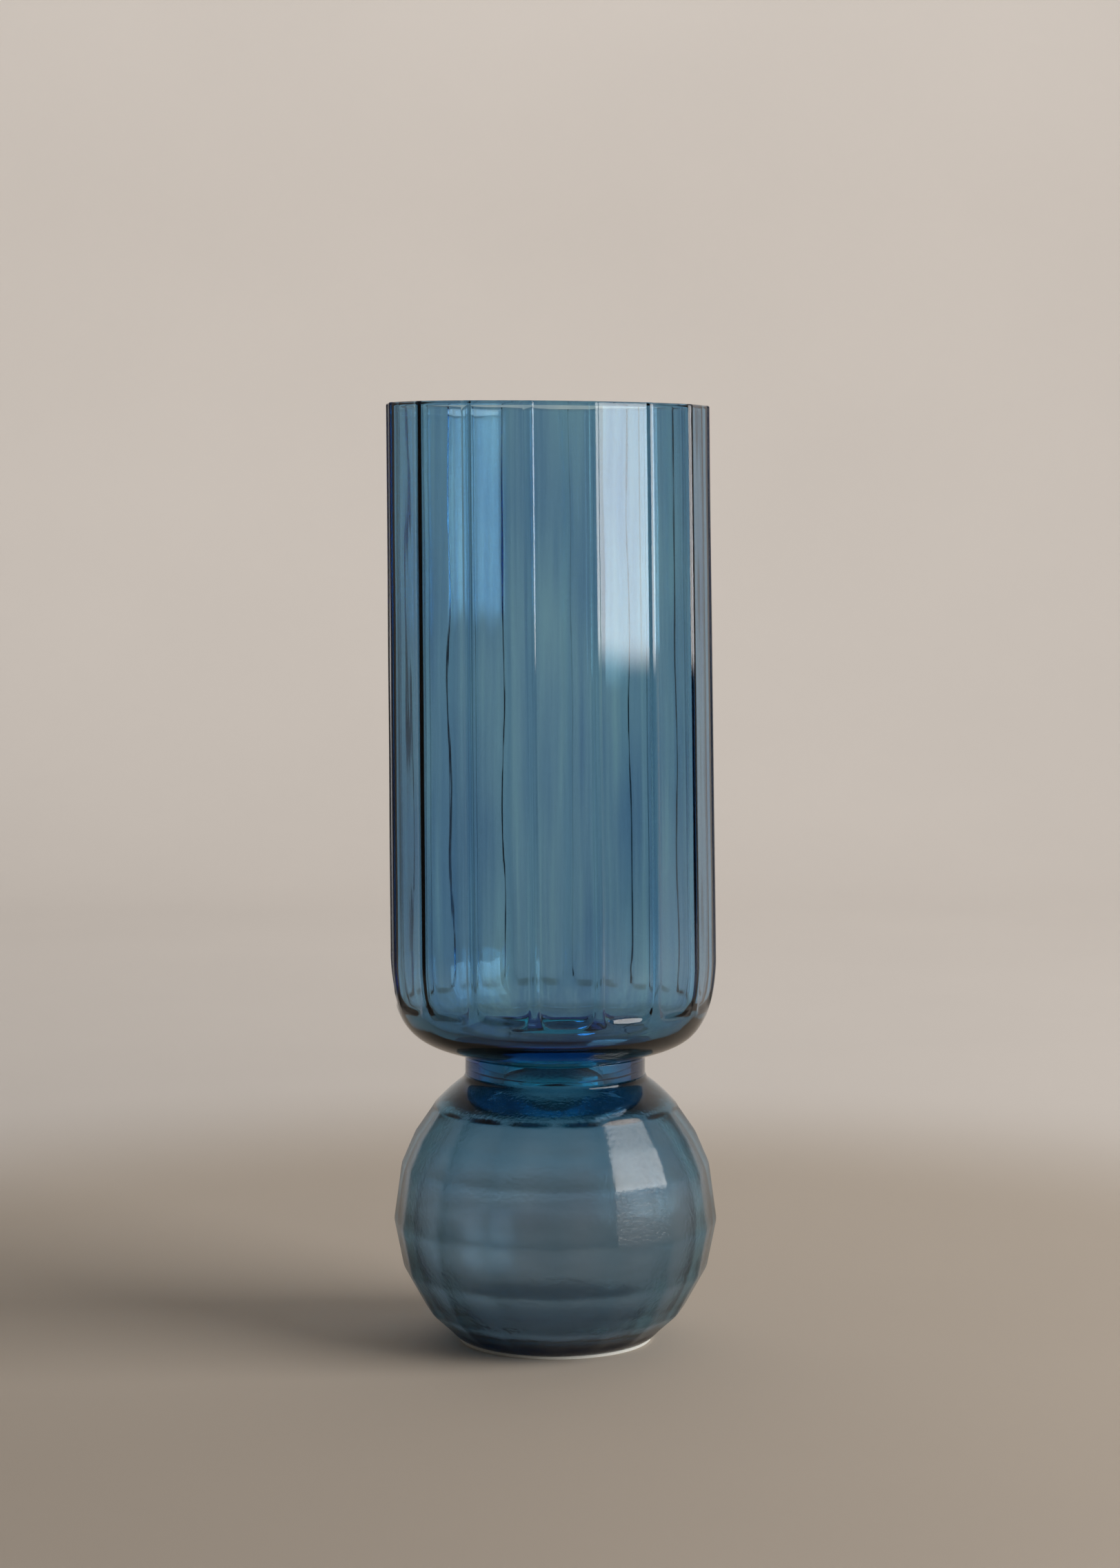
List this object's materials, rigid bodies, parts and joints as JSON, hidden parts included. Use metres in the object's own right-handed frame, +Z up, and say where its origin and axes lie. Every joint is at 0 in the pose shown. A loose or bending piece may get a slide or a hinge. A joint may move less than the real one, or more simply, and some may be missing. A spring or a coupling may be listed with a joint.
{
  "type": "glass bud vase",
  "caption": "Tall hollow glass vase: a panelled cylindrical cup on a short neck collar over a faceted ball with a thin flat foot.",
  "frame": {"origin": "centre of the flat base, on the surface that the vase stands on", "axes": "+Z up along the vase's axis, from the foot to the rim; -Y is the front"},
  "size_m": [0.1052, 0.1052, 0.3],
  "materials": {
    "cup_glass": "fire-polished, glossy",
    "neck_glass": "fire-polished, glossy",
    "ball_glass": "satin, fine orange peel",
    "foot_glass": "ground"
  },
  "bodies": {
    "root": {"cup": "cup_glass", "neck_collar": "neck_glass", "ball": "ball_glass", "foot_ring": "foot_glass"}
  },
  "joints": []
}
